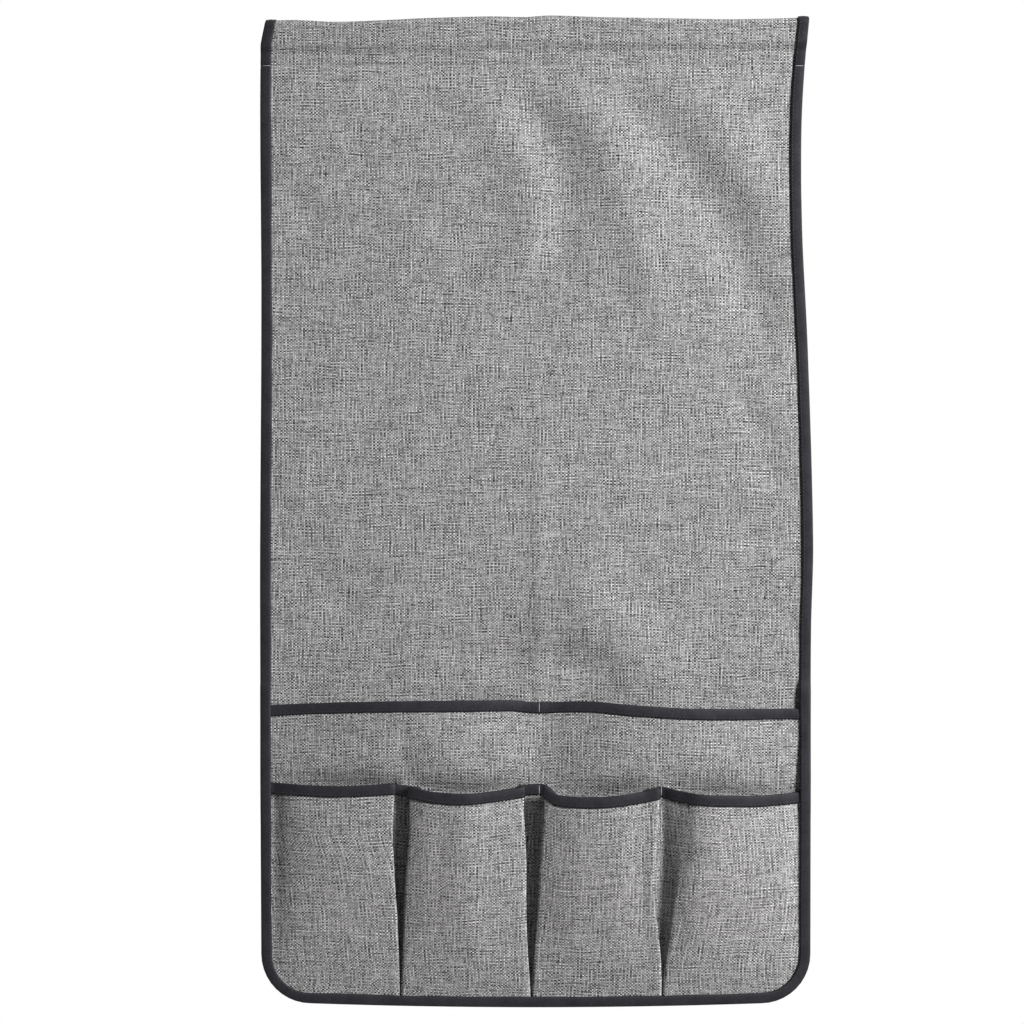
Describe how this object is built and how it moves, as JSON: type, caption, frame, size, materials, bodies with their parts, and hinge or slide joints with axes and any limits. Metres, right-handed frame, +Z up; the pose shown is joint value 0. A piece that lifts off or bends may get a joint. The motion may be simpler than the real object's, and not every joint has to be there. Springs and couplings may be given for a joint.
{
  "type": "sofa armrest organizer",
  "caption": "Hanging cloth organizer with a hemmed top, bound edges, a divided flat pocket and a row of pleated pockets in front of it.",
  "frame": {"origin": "on the flat back of the top hem, 17 mm below the hem's highest line and midway between the sides", "axes": "+Z up along the hanging panel, +Y out of its back towards what it hangs on, -Y the side with the pockets"},
  "size_m": [0.5023, 0.0415, 0.8995],
  "materials": {
    "linen": "coarse mottled grey linen-look weave, matt",
    "binding": "folded charcoal woven tape, faint sheen",
    "light_thread": "light grey sewing thread",
    "dark_thread": "dark sewing thread"
  },
  "bodies": {
    "root": {"back_panel": "linen", "hem_seam": "light_thread", "perimeter_binding": "binding", "perimeter_binding_seam": "dark_thread", "rear_pocket": "linen", "rear_pocket_binding": "binding", "rear_binding_seam": "dark_thread", "front_pocket_strip": "linen", "front_pocket_binding": "binding", "front_binding_seam": "dark_thread", "left_divider_seam": "light_thread", "centre_divider_seam": "light_thread", "right_divider_seam": "light_thread"}
  },
  "joints": []
}
